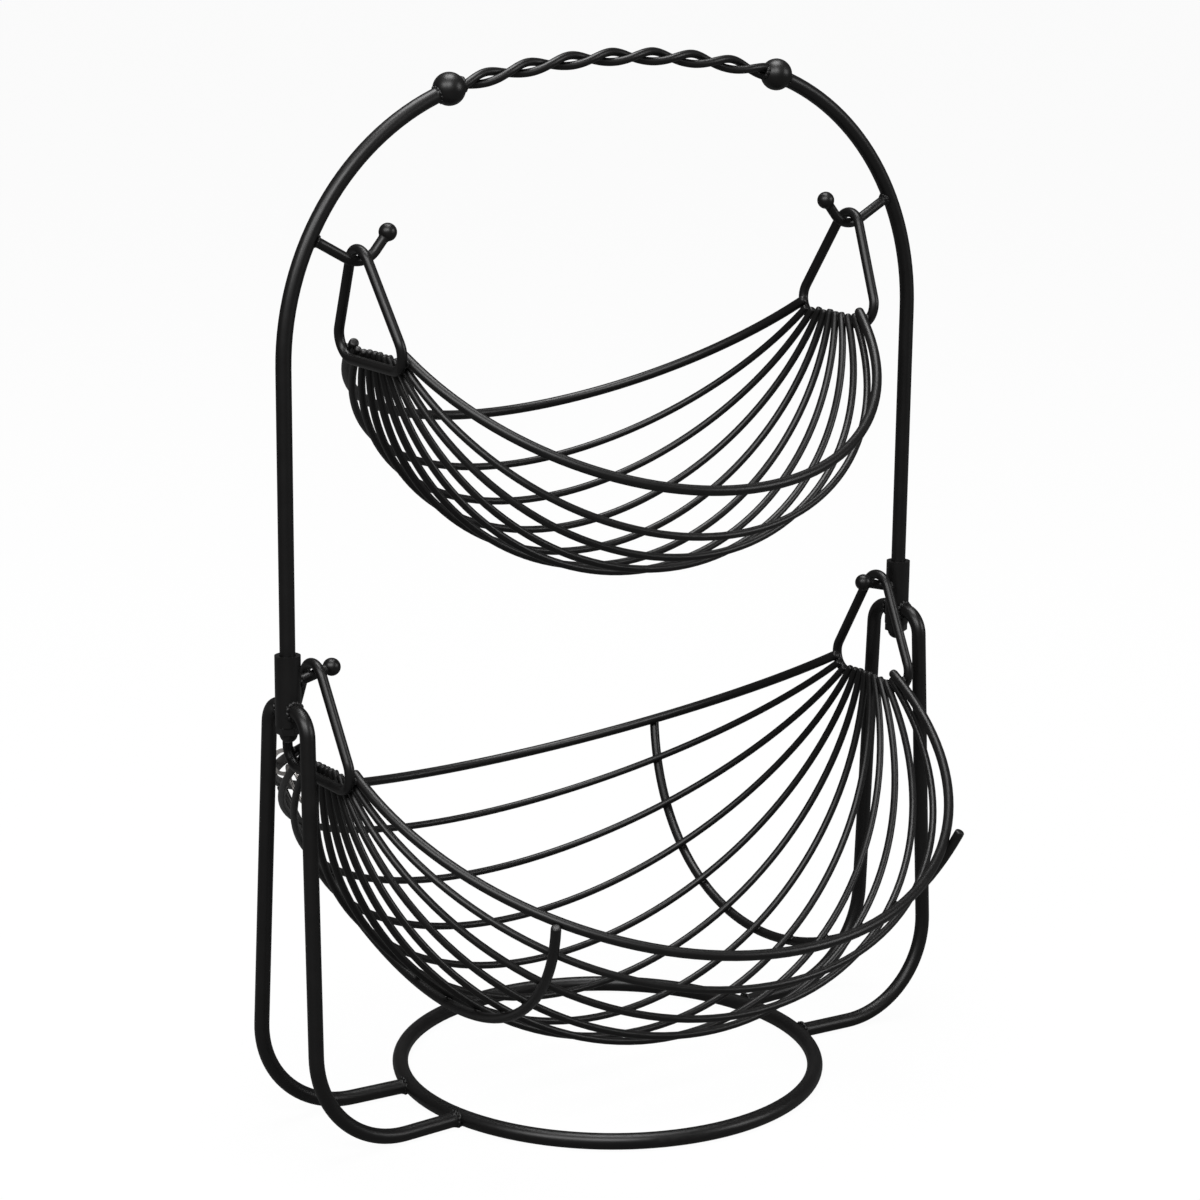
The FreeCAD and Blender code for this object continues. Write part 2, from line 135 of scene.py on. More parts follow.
class Graph:
    """The node tree of one material or of the world."""

    def __init__(self, tree: bpy.types.NodeTree) -> None:
        """Takes over a tree and clears it."""
        self.tree = tree
        tree.nodes.clear()

    def node(
        self,
        kind: str,
        settings: dict[str, object] | None = None,
        inputs: dict[str | int, Term] | None = None,
        output: str | int = 0,
    ) -> Value:
        """Adds a node of any type.

        Args:
            kind: The node's type name.
            settings: Its properties, set before its sockets; "stops" fills a ramp.
            inputs: Values or links of its sockets, by name or number.
            output: The output to return.

        Returns:
            The chosen output.
        """
        made = self.tree.nodes.new(kind)
        for name, value in (settings or {}).items():
            if name == "stops":
                ramp = made.color_ramp
                while len(ramp.elements) < len(value):
                    ramp.elements.new(1.0)
                for element, (place, colour) in zip(ramp.elements, value):
                    element.position = place
                    element.color = colour
            else:
                setattr(made, name, value)
        for name, value in (inputs or {}).items():
            socket = made.inputs[name]
            if isinstance(value, Value):
                self.tree.links.new(value.socket, socket)
            else:
                socket.default_value = value
        if not made.outputs:
            return Value(self, made.inputs[0])
        return Value(self, made.outputs[output])

    def noise(self, scale: float, detail: float, roughness: float = 0.5) -> Value:
        """Fine noise over the object's own coordinates.

        Args:
            scale: Waves per metre.
            detail: Octaves of finer noise.
            roughness: Share that each octave keeps.

        Returns:
            The noise, from 0 to 1.
        """
        place = self.node("ShaderNodeTexCoord", output="Object")
        return self.node(
            "ShaderNodeTexNoise",
            {"noise_dimensions": "3D"},
            {"Vector": place, "Scale": scale, "Detail": detail, "Roughness": roughness},
        )

    def white_rays(self, gloss_share: float) -> Value:
        """How white the background is to a ray.

        Args:
            gloss_share: The whiteness that rays off gloss see.

        Returns:
            1 for rays from the camera, the share for those off gloss, 0 for others.
        """
        camera = self.node("ShaderNodeLightPath", output="Is Camera Ray")
        gloss = self.node("ShaderNodeLightPath", output="Is Glossy Ray")
        return camera + gloss_share * gloss

    def blend(self, share: Term, first: Term, second: Term) -> Value:
        """Mixes two colours.

        Args:
            share: How much of the second.
            first: The colour at 0.
            second: The colour at 1.

        Returns:
            The mixed colour.
        """
        return self.node(
            "ShaderNodeMix", {"data_type": "RGBA"}, {0: share, 6: first, 7: second}, output=2
        )

    def bump(self, height: Value, depth: float, strength: float) -> Value:
        """Normal that follows a height.

        Args:
            height: The height, from 0 to 1.
            depth: Real height of 1, in metres.
            strength: Share of the effect.

        Returns:
            The bent normal.
        """
        sockets = {"Height": height, "Distance": depth, "Strength": strength}
        return self.node("ShaderNodeBump", None, sockets)


def blank(name: str) -> tuple[bpy.types.Material, Graph]:
    """Starts a material.

    Args:
        name: The material's name.

    Returns:
        The material and its empty graph.
    """
    material = bpy.data.materials.new(name)
    material.use_nodes = True
    return material, Graph(material.node_tree)


@dataclass(frozen=True)
class PowderCoat:
    """Satin-black powder coat: fine orange peel, slightly mottled gloss."""

    name: str = "satin_black_coat"
    dark: Colour = (0.0022, 0.0021, 0.0021, 1.0)
    pale: Colour = (0.0052, 0.0048, 0.0048, 1.0)
    smooth: float = 0.33
    rough: float = 0.44
    gloss: float = 0.38
    peel_per_metre: float = 900.0
    peel_detail: float = 2.0
    mottle_per_metre: float = 140.0
    mottle_detail: float = 4.0
    mottle_roughness: float = 0.6
    grain_per_metre: float = 2600.0
    grain_detail: float = 1.0
    grain_in_gloss: float = 0.2
    grain_in_height: float = 0.2
    peel_depth: float = 0.00003
    peel_strength: float = 0.09

    def make(self) -> bpy.types.Material:
        """Builds the finish.

        Returns:
            Its material.
        """
        material, graph = blank(self.name)
        peel = graph.noise(self.peel_per_metre, self.peel_detail)
        mottle = graph.noise(self.mottle_per_metre, self.mottle_detail, self.mottle_roughness)
        grain = graph.noise(self.grain_per_metre, self.grain_detail)
        colour = graph.blend(mottle, self.dark, self.pale)
        patches = mottle + self.grain_in_gloss * (grain - mottle)
        roughness = self.smooth + (self.rough - self.smooth) * patches
        height = peel + self.grain_in_height * (grain - peel)
        shader = graph.node(
            "ShaderNodeBsdfPrincipled",
            None,
            {
                "Base Color": colour,
                "Roughness": roughness,
                "Specular IOR Level": self.gloss,
                "Normal": graph.bump(height, self.peel_depth, self.peel_strength),
            },
        )
        graph.node("ShaderNodeOutputMaterial", None, {"Surface": shader})
        return material


@dataclass(frozen=True)
class WeldCoat(PowderCoat):
    """The same coat over a rough weld, thicker and more broken."""

    name: str = "coated_weld"
    smooth: float = 0.30
    rough: float = 0.55
    peel_per_metre: float = 520.0
    peel_depth: float = 0.00025
    peel_strength: float = 0.6


@dataclass(frozen=True)
class BrightSteel:
    """Plated spring steel with fine rub marks."""

    name: str = "plated_spring_steel"
    bright: Colour = (0.56, 0.54, 0.52, 1.0)
    dull: Colour = (0.43, 0.415, 0.40, 1.0)
    bright_until: float = 0.4
    dull_from: float = 0.7
    metallic: float = 1.0
    stains_per_metre: float = 260.0
    stain_detail: float = 2.0
    rubs_per_metre: float = 1500.0
    rub_detail: float = 4.0
    rub_roughness: float = 0.7
    rub_depth: float = 0.00002
    rub_strength: float = 0.3
    smooth: float = 0.38
    rough: float = 0.60

    def make(self) -> bpy.types.Material:
        """Builds the finish.

        Returns:
            Its material.
        """
        material, graph = blank(self.name)
        rubs = graph.noise(self.rubs_per_metre, self.rub_detail, self.rub_roughness)
        stains = graph.noise(self.stains_per_metre, self.stain_detail)
        stops = [(self.bright_until, self.bright), (self.dull_from, self.dull)]
        shader = graph.node(
            "ShaderNodeBsdfPrincipled",
            None,
            {
                "Base Color": graph.node("ShaderNodeValToRGB", {"stops": stops}, {"Fac": stains}),
                "Metallic": self.metallic,
                "Roughness": self.smooth + (self.rough - self.smooth) * rubs,
                "Normal": graph.bump(rubs, self.rub_depth, self.rub_strength),
            },
        )
        graph.node("ShaderNodeOutputMaterial", None, {"Surface": shader})
        return material


@dataclass(frozen=True)
class StudioPaper:
    """White paper that reads as plain white to the camera and keeps a soft shadow."""

    name: str = "white_paper"
    lit: Colour = (0.08, 0.08, 0.08, 1.0)
    seen: Colour = (0.80, 0.80, 0.80, 1.0)
    glow_share: float = 0.96
    glow_strength: float = 1.0
    gloss_share: float = 0.04

    def make(self) -> bpy.types.Material:
        """Builds the finish.

        Returns:
            Its material.
        """
        material, graph = blank(self.name)
        seen = graph.white_rays(self.gloss_share)
        colour = graph.blend(seen, self.lit, self.seen)
        paper = graph.node("ShaderNodeBsdfDiffuse", None, {"Color": colour})
        light = {"Color": WHITE, "Strength": self.glow_strength}
        glow = graph.node("ShaderNodeEmission", None, light)
        shares = {0: self.glow_share * seen, 1: paper, 2: glow}
        shader = graph.node("ShaderNodeMixShader", None, shares)
        graph.node("ShaderNodeOutputMaterial", None, {"Surface": shader})
        return material


def flipped(point: Vector, side: Side) -> Vector:
    """The point on the given side, from one on the right."""
    return Vector((side.value * point.x, point.y, point.z))


def spokes(axis: Vector, count: int) -> list[Vector]:
    """Unit vectors round an axis.

    Args:
        axis: The axis, of length 1.
        count: How many go round.

    Returns:
        The vectors, equally spaced.
    """
    across = axis.orthogonal().normalized()
    other = axis.cross(across)
    turns = [2 * math.pi * number / count for number in range(count)]
    return [across * math.cos(turn) + other * math.sin(turn) for turn in turns]


@dataclass(frozen=True)
class Fillet:
    """How far a weld fillet spreads past its wire, climbs it and dips below its root."""

    flare: float
    rise: float
    sink: float


@dataclass
class WeldMesh:
    """One mesh that gathers the welds, fillets and rounded wire ends of a body."""

    name: str
    body: Body
    floor_height: float = 0.0
    roughness: float = 0.14
    wave: float = 900.0
    fine_wave_share: float = 2.3
    fine_swing_share: float = 0.5
    fillet_steps: int = 7
    fillet_spokes: int = 28
    fillet_grip: float = 0.985
    lump_levels: int = 8
    lump_spokes: int = 14
    lump_roughness_share: float = 1.6
    seam_lumps: int = 11
    seam_stand_off: float = 0.15
    seam_width_share: float = 0.8
    seam_height_share: float = 0.7
    dome_levels: int = 7
    dome_spokes: int = 20
    dome_grip: float = 0.995
    dome_squareness: float = 0.5
    shape: bmesh.types.BMesh = field(default_factory=bmesh.new)

    def _shaken(self, point: Vector, centre: Vector, amount: float) -> Vector:
        """Moves a point in or out from a centre by a fixed noise.

        Args:
            point: The point.
            centre: The centre that it moves from.
            amount: Largest share of its distance that it moves by.

        Returns:
            The moved point.
        """
        fine = noise.noise(point * (self.fine_wave_share * self.wave))
        swing = noise.noise(point * self.wave) + self.fine_swing_share * fine
        return centre + (point - centre) * (1.0 + amount * swing)

    def _rings(self, rings: list[list[Vector]], poles: Sequence[Vector] = ()) -> None:
        """Skins rings of points with faces.

        Args:
            rings: Rings of equally many points.
            poles: The point that closes the last ring, and the one that closes the first.
        """
        made = [[self.shape.verts.new(point) for point in ring] for ring in rings]
        count = len(made[0])
        for lower, upper in zip(made, made[1:]):
            for number in range(count):
                after = (number + 1) % count
                self.shape.faces.new((lower[number], lower[after], upper[after], upper[number]))
        for pole, ring in zip(poles, (made[-1], made[0])):
            tip = self.shape.verts.new(pole)
            for number in range(count):
                self.shape.faces.new((ring[number], ring[(number + 1) % count], tip))

    def collar(self, root: Vector, axis: Vector, wire: float, fillet: Fillet) -> None:
        """Adds a fillet round a wire where it meets a surface.

        Args:
            root: Point on the wire's axis at the surface.
            axis: Direction of the wire away from the surface.
            wire: The wire's diameter.
            fillet: The fillet's size.
        """
        axis = axis.normalized()
        around = spokes(axis, self.fillet_spokes)
        rings = []
        for step in range(self.fillet_steps + 1):
            share = step / self.fillet_steps
            turn = math.pi / 2 * share
            radius = wire / 2 * self.fillet_grip + fillet.flare * (1.0 - math.sin(turn))
            climb = (fillet.rise + fillet.sink) * (1.0 - math.cos(turn))
            middle = root + axis * (climb - fillet.sink)
            amount = self.roughness * (1.0 - share)
            rings.append(
                [self._shaken(middle + spoke * radius, middle, amount) for spoke in around]
            )
        self._rings(rings)

    def lump(self, centre: Vector, along: Vector, outward: Vector, size: Vector) -> None:
        """Adds a weld lump between two crossing wires.

        Args:
            centre: Middle of the lump.
            along: Direction of its length.
            outward: Direction of its height.
            size: Half length, half width and half height.
        """
        along = along.normalized()
        outward = (outward - along * outward.dot(along)).normalized()
        turn = Matrix((along, outward.cross(along), outward)).transposed()
        amount = self.lump_roughness_share * self.roughness
        rings = []
        for level in range(1, self.lump_levels):
            lean = math.pi * level / self.lump_levels
            ring = []
            for number in range(self.lump_spokes):
                spin = 2 * math.pi * number / self.lump_spokes
                local = Vector(
                    (
                        size.x * math.sin(lean) * math.cos(spin),
                        size.y * math.sin(lean) * math.sin(spin),
                        -size.z * math.cos(lean),
                    )
                )
                ring.append(self._shaken(centre + turn @ local, centre, amount))
            rings.append(ring)
        crown = turn @ Vector((0.0, 0.0, size.z))
        self._rings(rings, (centre + crown, centre - crown))

    def seam(self, root: Vector, axis: Vector, wire: float, size: float) -> None:
        """Adds a weld seam of overlapping lumps round the foot of a wire.

        Args:
            root: Point on the wire's axis at the surface.
            axis: Direction of the wire away from the surface.
            wire: The wire's diameter.
            size: Half length of a lump.
        """
        axis = axis.normalized()
        lump = Vector((size, self.seam_width_share * size, self.seam_height_share * size))
        for spoke in spokes(axis, self.seam_lumps):
            place = root + spoke * (wire / 2 + self.seam_stand_off * size)
            self.lump(place, axis.cross(spoke), spoke + axis, lump)

    def dome(self, tip: Vector, axis: Vector, wire: float, bulge: float) -> None:
        """Adds the rounded end of a cut wire.

        Args:
            tip: Middle of the wire's cut end.
            axis: Direction out of the end.
            wire: The wire's diameter.
            bulge: Height of the dome as a share of the wire's radius.
        """
        axis = axis.normalized()
        around = spokes(axis, self.dome_spokes)
        radius = wire / 2 * self.dome_grip
        rings = []
        for level in range(self.dome_levels):
            lean = math.pi / 2 * level / self.dome_levels
            high = math.sin(lean) ** self.dome_squareness
            wide = math.cos(lean) ** self.dome_squareness
            middle = tip + axis * (radius * bulge * high)
            rings.append([middle + spoke * (radius * wide) for spoke in around])
        self._rings(rings, (tip + axis * (radius * bulge),))

    def finish(self, material: bpy.types.Material) -> bpy.types.Object:
        """Makes the object, dresses it and sets it on its body.

        Args:
            material: Its finish.

        Returns:
            The object.
        """
        mesh = bpy.data.meshes.new(self.name)
        for vert in self.shape.verts:
            vert.co.z = max(vert.co.z, self.floor_height)
        bmesh.ops.recalc_face_normals(self.shape, faces=self.shape.faces)
        self.shape.to_mesh(mesh)
        self.shape.free()
        for polygon in mesh.polygons:
            polygon.use_smooth = True
        mesh.materials.append(material)
        piece = bpy.data.objects.new(self.name, mesh)
        bpy.context.scene.collection.objects.link(piece)
        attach(piece, self.body.value)
        LOG.info("%s: %d faces on %s", self.name, len(mesh.polygons), self.body.value)
        return piece


@dataclass(frozen=True)
class BasketArc:
    """Arc of a rib or rim from hanger to hanger, mirrored at X = 0."""

    end: Vector
    through: Vector

    @property
    def way(self) -> Vector:
        """Direction from the chord of the ends to the lowest point."""
        drop = self.through - self.end
        return Vector((0.0, drop.y, drop.z)).normalized()

    @property
    def centre_depth(self) -> float:
        """Depth of the arc's centre below its chord."""
        depth = math.hypot(self.through.y - self.end.y, self.through.z - self.end.z)
        return (self.through.x**2 + depth**2 - self.end.x**2) / (2 * depth)

    @property
    def heading(self) -> Vector:
        """Direction of the wire where it leaves over the right bar."""
        turn = math.atan2(self.end.x, -self.centre_depth)
        return Vector((math.cos(turn), 0.0, 0.0)) - self.way * math.sin(turn)

    def at(self, across: float) -> Vector:
        """Point of the arc at a distance from the middle.

        Args:
            across: The point's X.

        Returns:
            The point.
        """
        radius = math.hypot(self.end.x, self.centre_depth)
        drop = self.centre_depth + math.sqrt(radius**2 - across**2)
        return Vector((across, self.end.y, self.end.z)) + self.way * drop


@dataclass(frozen=True)
class Hanger:
    """Bar and corners of one tier's triangular hangers."""

    bar: Vector
    lean: float
    height: float
    straight_run: float
    wire: float = 0.004
    corner_bend: float = 0.008
    gap: float = 0.0002

    @property
    def up(self) -> Vector:
        """Direction from the bar to the top of the right hanger."""
        return Vector((self.lean, 0.0, math.sqrt(self.height**2 - self.lean**2))).normalized()

    def bar_point(self, run: float) -> Vector:
        """Point of the bar's axis, or of its corner's.

        Args:
            run: Run from the middle of the bar.

        Returns:
            The point, on the right hanger.
        """
        past = max(abs(run) - self.straight_run, 0.0)
        turn = past / self.corner_bend
        across = abs(run) - past + self.corner_bend * math.sin(turn)
        above = self.corner_bend * (1.0 - math.cos(turn))
        return self.bar + Vector((0.0, math.copysign(across, run), 0.0)) + self.up * above

    def wire_end(self, run: float, wire: float) -> Vector:
        """Where a basket wire passes the inner side of the bar.

        Args:
            run: Run from the middle of the bar.
            wire: The basket wire's diameter.

        Returns:
            The point on that wire's axis, on the right.
        """
        return self.bar_point(run) - Vector(((self.wire + wire) / 2 + self.gap, 0.0, 0.0))


@dataclass
class Basket:
    """What the two baskets have in common: ribs, rims and their welds to the hangers."""

    body: Body
    hanger: Hanger
    rib_count: int
    rib_pitch: float
    rib_spread: float
    rim_run: float
    rib_wire: float = 0.003
    rim_wire: float = 0.004
    rib_tip: float = 0.0026
    rim_tip: float = 0.0028
    tip_bulge: float = 1.35
    tip_wave: float = 700.0
    tip_swing: float = 0.6
    lump_length_share: float = 0.45
    lump_width_share: float = 0.42
    lump_height_share: float = 0.22

    def steps(self) -> list[float]:
        """Steps of the ribs either side of the middle one."""
        return [number - (self.rib_count - 1) / 2 for number in range(self.rib_count)]

    def rib_run(self, step: float) -> float:
        """Run of a rib's end along the bar."""
        return step * (self.rib_pitch + self.rib_spread * abs(step))

    def rib_through(self, step: float) -> Vector:
        """A point that a rib passes, apart from its ends."""
        raise NotImplementedError

    def rim_through(self, end: End) -> Vector:
        """A point that a rim passes, apart from its ends."""
        raise NotImplementedError

    def rib(self, step: float) -> BasketArc:
        """The arc of one rib."""
        end = self.hanger.wire_end(self.rib_run(step), self.rib_wire)
        return BasketArc(end, self.rib_through(step))

    def rim(self, end: End) -> BasketArc:
        """The arc of one rim."""
        tip = self.hanger.wire_end(end.value * self.rim_run, self.rim_wire)
        return BasketArc(tip, self.rim_through(end))

    def weld_to_hangers(self, welds: WeldMesh) -> None:
        """Adds the lumps and rounded ends where ribs and rims meet the bars.

        Args:
            welds: The mesh that takes them.
        """
        wires = [
            (self.rib(step), self.rib_run(step), self.rib_wire, self.rib_tip)
            for step in self.steps()
        ]
        wires += [
            (self.rim(end), end.value * self.rim_run, self.rim_wire, self.rim_tip) for end in End
        ]
        lump_shares = Vector(
            (self.lump_length_share, self.lump_width_share, self.lump_height_share)
        )
        for arc, run, wire, tip in wires:
            contact = arc.end.lerp(self.hanger.bar_point(run), wire / (wire + self.hanger.wire))
            size = lump_shares * wire
            for side in Side:
                heading = flipped(arc.heading, side)
                welds.lump(flipped(contact, side), heading, Vector((-side.value, 0.0, 0.0)), size)
                cut = flipped(arc.end, side) + heading * tip
                bulge = self.tip_bulge * (1.0 + self.tip_swing * noise.noise(cut * self.tip_wave))
                welds.dome(cut, heading, wire, bulge)

    def weld(self, welds: WeldMesh) -> None:
        """Adds all welds of the basket to a mesh."""
        self.weld_to_hangers(welds)

    def dress(self, material: bpy.types.Material) -> None:
        """Builds the basket's welds.

        Args:
            material: Their finish.
        """
        welds = WeldMesh(f"{self.body.value}_welds", self.body)
        self.weld(welds)
        welds.finish(material)


@dataclass
class UpperBasket(Basket):
    """The small basket, whose ribs pass through an arc round the swing axis."""

    body: Body = Body.UPPER
    hanger: Hanger = field(
        default_factory=lambda: Hanger(
            bar=Vector((0.110906, 0.0, 0.305249)),
            lean=0.006,
            height=0.0445,
            straight_run=0.015177,
        )
    )
    rib_count: int = 9
    rib_pitch: float = 0.0041
    rib_spread: float = 0.00014
    rim_run: float = 0.0232
    axis_height: float = 0.345043
    belly_radius: float = 0.130
    rib_step: float = 9.4
    rim_spread: float = 0.092
    rim_height: float = 0.262283

    def rib_through(self, step: float) -> Vector:
        """Lowest point of a rib.

        Args:
            step: The rib's step from the middle one.

        Returns:
            The point.
        """
        angle = math.radians(self.rib_step * step)
        drop = self.belly_radius * math.cos(angle)
        return Vector((0.0, self.belly_radius * math.sin(angle), self.axis_height - drop))

    def rim_through(self, end: End) -> Vector:
        """Lowest point of a rim."""
        return Vector((0.0, end.value * self.rim_spread, self.rim_height))


@dataclass
class LowerBasket(Basket):
    """The large basket, whose ribs lie in two tilted cradle wires."""

    body: Body = Body.LOWER
    hanger: Hanger = field(
        default_factory=lambda: Hanger(
            bar=Vector((0.136, 0.0, 0.147018)),
            lean=0.002,
            height=0.0462,
            straight_run=0.0161,
        )
    )
    rib_count: int = 11
    rib_pitch: float = 0.00355
    rib_spread: float = 0.000155
    rim_run: float = 0.0257
    cradle_offset: float = 0.0766
    cradle_height: float = 0.046498
    cradle_radius: float = 0.111
    cradle_tilt: float = 14.5
    cradle_wire: float = 0.004
    cradle_gap: float = 0.00005
    rib_step: float = 11.4
    rim_angle: float = 66.46
    end_angle: float = 66.46
    stub_angle: float = 68.4
    end_bulge: float = 0.8
    end_step: float = 1.0
    cradle_lump: Vector = field(default_factory=lambda: Vector((0.0017, 0.0015, 0.0007)))

    def cradle_point(self, angle: float, radius: float, shift: float = 0.0) -> Vector:
        """Point of a circle round the right cradle's tilted axis.

        Args:
            angle: Degrees from its lowest point, towards the back.
            radius: The circle's radius.
            shift: Distance along the axis.

        Returns:
            The point.
        """
        turn, tilt = math.radians(angle), math.radians(self.cradle_tilt)
        climb = self.cradle_radius - radius * math.cos(turn)
        along = Vector((math.cos(tilt), 0.0, -math.sin(tilt)))
        up = Vector((math.sin(tilt), 0.0, math.cos(tilt)))
        lowest = Vector((self.cradle_offset, 0.0, self.cradle_height))
        return lowest + along * shift + up * climb + Vector((0.0, radius * math.sin(turn), 0.0))

    def rib_through(self, step: float) -> Vector:
        """Where a rib crosses the cradle."""
        return self.cradle_point(self.rib_step * step, self.cradle_radius)

    def rim_through(self, end: End) -> Vector:
        """Where a rim crosses the cradle."""
        radius = self.cradle_radius - (self.rim_wire - self.rib_wire)
        return self.cradle_point(end.value * self.rim_angle, radius)

    def cradle_axis_point(self, angle: float) -> Vector:
        """Point of the right cradle wire's own axis.

        Args:
            angle: Degrees from its lowest point, towards the back.

        Returns:
            The point.
        """
        middle = self.rib(0.0)
        radius = math.hypot(middle.end.x, middle.centre_depth)
        crossing = math.asin(self.cradle_offset / radius) + math.radians(self.cradle_tilt)
        reach = (self.rib_wire + self.cradle_wire) / 2 + self.cradle_gap
        wire_radius = self.cradle_radius + reach * math.cos(crossing)
        return self.cradle_point(angle, wire_radius, reach * math.sin(crossing))

    def weld_to_cradles(self, welds: WeldMesh) -> None:
        """Adds the lumps where the ribs lie in the cradles, and the cradles' rounded ends.

        Args:
            welds: The mesh that takes them.
        """
        for step in self.steps():
            angle = self.rib_step * step
            rib = self.rib_through(step)
            wire = self.cradle_axis_point(angle)
            along = self.cradle_axis_point(angle + self.end_step) - wire
            place = rib.lerp(wire, self.rib_wire / (self.rib_wire + self.cradle_wire))
            for side in Side:
                up = flipped(rib - wire, side)
                welds.lump(flipped(place, side), flipped(along, side), up, self.cradle_lump)
        for side in Side:
            front = self.stub_angle if side is Side.RIGHT else self.end_angle
            for angle, inward in ((-front, self.end_step), (self.end_angle, -self.end_step)):
                tip = self.cradle_axis_point(angle)
                out = flipped(tip - self.cradle_axis_point(angle + inward), side)
                welds.dome(flipped(tip, side), out, self.cradle_wire, self.end_bulge)

    def weld(self, welds: WeldMesh) -> None:
        """Adds all welds of the basket to a mesh."""
        self.weld_to_hangers(welds)
        self.weld_to_cradles(welds)


@dataclass
class Stand:
    """Ring, legs, sleeves, arch and hooks, and the welds between them."""

    ring_radius: float = 0.0865
    ring_wire: float = 0.0065
    frame_wire: float = 0.006
    leg_foot: Vector = field(default_factory=lambda: Vector((0.1515, 0.024, 0.003)))
    leg_weld_spread: float = 0.020
    leg_top_height: float = 0.177
    sleeve_offset: float = 0.149
    sleeve_size: float = 0.010
    hook_wire: float = 0.004
    ball_size: float = 0.007
    lower_hook_height: float = 0.186
    lower_hook_slope: float = 14.0
    lower_ball_offset: float = 0.130
    arch_centre: Vector = field(default_factory=lambda: Vector((0.044, 0.0, 0.307)))
    arch_radius: float = 0.105
    upper_hook_height: float = 0.355
    upper_hook_corner: Vector = field(default_factory=lambda: Vector((0.11449, 0.0, 0.34225)))
    upper_ball: Vector = field(default_factory=lambda: Vector((0.10399, 0.0, 0.355)))
    bead_offset: float = 0.077
    bead_size: float = 0.0127
    arch_slope: float = 22.0
    ball_contact_share: float = 0.8
    bead_contact_share: float = 0.88
    ring_fillet: Fillet = Fillet(flare=0.0009, rise=0.0028, sink=0.0008)
    sleeve_fillet: Fillet = Fillet(flare=0.0007, rise=0.0018, sink=0.0010)
    lower_hook_fillet: Fillet = Fillet(flare=0.0012, rise=0.0022, sink=0.0008)
    upper_hook_fillet: Fillet = Fillet(flare=0.0011, rise=0.0022, sink=0.0010)
    ball_fillet: Fillet = Fillet(flare=0.0005, rise=0.0012, sink=0.0004)
    bead_fillet: Fillet = Fillet(flare=0.0007, rise=0.0018, sink=0.0004)
    sleeve_seam: float = 0.0013
    hook_seam: float = 0.0009
    ring_seam: float = 0.0011
    bead_seam: float = 0.0008
    strand_seam: float = 0.0012
    strand_contact_share: float = 0.96
    handle_rise: float = 0.0095
    strand_pair_width: float = 0.0044

    def arch_point(self, turn: float) -> Vector:
        """Point of the arch's right bend.

        Args:
            turn: Angle from the level, in radians.

        Returns:
            The point on its axis.
        """
        spoke = Vector((math.cos(turn), 0.0, math.sin(turn)))
        return self.arch_centre + spoke * self.arch_radius

    def bead_centre(self) -> Vector:
        """Where the arch's straight end reaches its bead.

        Returns:
            Middle of the right bead.
        """
        bend_end = self.arch_point(math.pi / 2 - math.radians(self.arch_slope))
        rise = (bend_end.x - self.bead_offset) * math.tan(math.radians(self.arch_slope))
        return Vector((self.bead_offset, 0.0, bend_end.z + rise))

    def weld_legs(self, welds: WeldMesh) -> None:
        """Adds the fillets at both ends of the legs.

        Args:
            welds: The mesh that takes them.
        """
        weld_x = math.sqrt(self.ring_radius**2 - self.leg_weld_spread**2)
        for end in End:
            foot = Vector((self.leg_foot.x, end.value * self.leg_foot.y, self.leg_foot.z))
            ring = Vector((weld_x, end.value * self.leg_weld_spread, self.leg_foot.z))
            out = (foot - ring).normalized()
            outward = Vector((0.0, end.value, 0.0))
            sleeve = Vector((self.sleeve_offset, 0.0, self.leg_top_height))
            sleeve += outward * (self.sleeve_size / 2)
            for side in Side:
                axis = flipped(out, side)
                root = flipped(ring, side) + axis * (self.ring_wire / 2)
                welds.collar(root, axis, self.frame_wire, self.ring_fillet)
                welds.seam(root, axis, self.frame_wire, self.ring_seam)
                welds.collar(flipped(sleeve, side), outward, self.frame_wire, self.sleeve_fillet)
                welds.seam(flipped(sleeve, side), outward, self.frame_wire, self.sleeve_seam)

    def weld_hooks(self, welds: WeldMesh) -> None:
        """Adds the fillets at both ends of the hooks.

        Args:
            welds: The mesh that takes them.
        """
        slope = math.radians(self.lower_hook_slope)
        inward = Vector((-math.cos(slope), 0.0, math.sin(slope)))
        lower_root = Vector((self.sleeve_offset, 0.0, self.lower_hook_height))
        lower_run = (self.sleeve_offset - self.lower_ball_offset) / math.cos(slope)
        lower_ball = lower_root + inward * lower_run
        turn = math.asin((self.upper_hook_height - self.arch_centre.z) / self.arch_radius)
        upper_root = self.arch_point(turn)
        upper_in = (self.upper_hook_corner - upper_root).normalized()
        upper_out = (self.upper_ball - self.upper_hook_corner).normalized()
        near_ball = self.ball_size / 2 * self.ball_contact_share
        roots = [
            (lower_root + inward * (self.sleeve_size / 2), inward, self.lower_hook_fillet),
            (upper_root + upper_in * (self.frame_wire / 2), upper_in, self.upper_hook_fillet),
        ]
        balls = [
            (lower_ball - inward * near_ball, -inward, self.ball_fillet),
            (self.upper_ball - upper_out * near_ball, -upper_out, self.ball_fillet),
        ]
        for side in Side:
            for root, axis, fillet in roots + balls:
                welds.collar(flipped(root, side), flipped(axis, side), self.hook_wire, fillet)
            for root, axis, _fillet in roots:
                foot, way = flipped(root, side), flipped(axis, side)
                welds.seam(foot, way, self.hook_wire, self.hook_seam)

